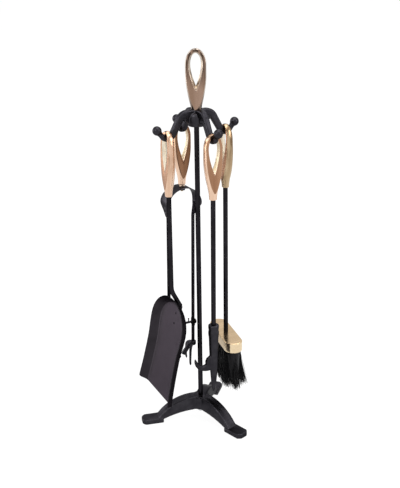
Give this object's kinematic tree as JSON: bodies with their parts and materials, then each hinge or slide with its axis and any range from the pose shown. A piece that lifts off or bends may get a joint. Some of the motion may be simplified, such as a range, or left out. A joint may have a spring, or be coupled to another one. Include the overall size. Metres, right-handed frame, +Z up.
{
  "type": "fireplace tool set",
  "caption": "Free-standing fireplace companion set: a legged base and column whose hooked rack holds a shovel, poker, brush and tongs by their looped handles.",
  "frame": {"origin": "on the floor, on the axis of the column", "axes": "+Z is up; the shovel hangs at -Y, the poker at +X, the brush at +Y and the tongs at -X"},
  "size_m": [0.2172, 0.2172, 0.7705],
  "materials": {
    "cast_iron": "satin black cast, faintly rough",
    "black_steel": "satin black paint on steel bar",
    "pan_sheet": "soft satin black paint on steel sheet",
    "rose_gold": "brushed rose gold with browned flats and bright edges",
    "pale_gold": "polished pale gold sheet",
    "zinc": "bright zinc",
    "rivet_steel": "black rivet",
    "block_wood": "plain raw beech",
    "bristle": "black filament"
  },
  "bodies": {
    "stand": {"base_casting": "cast_iron", "base_washer": "zinc", "base_nut": "zinc", "column": "black_steel", "rack_casting": "cast_iron", "finial_handle": "rose_gold"},
    "shovel": {"shovel_handle": "rose_gold", "shovel_shaft": "black_steel", "shovel_pan": "pan_sheet", "shovel_rivets": "rivet_steel"},
    "poker": {"poker_handle": "rose_gold", "poker_shaft": "black_steel", "poker_head": "cast_iron"},
    "brush": {"brush_handle": "rose_gold", "brush_shaft": "black_steel", "brush_cover": "pale_gold", "brush_block": "block_wood", "brush_nut": "zinc", "brush_bristles": "bristle"},
    "tongs": {"tongs_handle": "rose_gold", "tongs_spacer": "rose_gold", "tongs_bolt": "zinc", "tongs_bow": "black_steel"},
    "tongs_left": {"left_leg": "black_steel", "left_leg_rivets": "rivet_steel", "left_claw": "cast_iron", "guide_bar": "black_steel", "guide_peg": "rivet_steel"},
    "tongs_right": {"right_leg": "black_steel", "right_leg_rivets": "rivet_steel", "right_claw": "cast_iron"}
  },
  "joints": [
    {"name": "shovel_lift", "type": "slide", "parent": "stand", "child": "shovel", "axis": [0, -0.5299, 0.848], "range_m": [0, 0.08]},
    {"name": "poker_lift", "type": "slide", "parent": "stand", "child": "poker", "axis": [0.5299, 0, 0.848], "range_m": [0, 0.08]},
    {"name": "brush_lift", "type": "slide", "parent": "stand", "child": "brush", "axis": [0, 0.5299, 0.848], "range_m": [0, 0.08]},
    {"name": "tongs_lift", "type": "slide", "parent": "stand", "child": "tongs", "axis": [-0.5299, 0, 0.848], "range_m": [0, 0.08]},
    {"name": "left_squeeze", "type": "hinge", "parent": "tongs", "child": "tongs_left", "pos_m": [-0.0625, -0.03366, 0.45794], "axis": [1, 0, 0], "range_deg": [0, 0.6], "stiffness_Nm_per_rad": 20, "springref_deg": -0.57},
    {"name": "right_squeeze", "type": "hinge", "parent": "tongs", "child": "tongs_right", "pos_m": [-0.0625, 0.02819, 0.45686], "axis": [-1, 0, 0], "range_deg": [0, 0.6], "stiffness_Nm_per_rad": 20, "springref_deg": -0.57}
  ],
  "couplings": [
    {"joint": "right_squeeze", "follows": "left_squeeze", "ratio": 1}
  ]
}
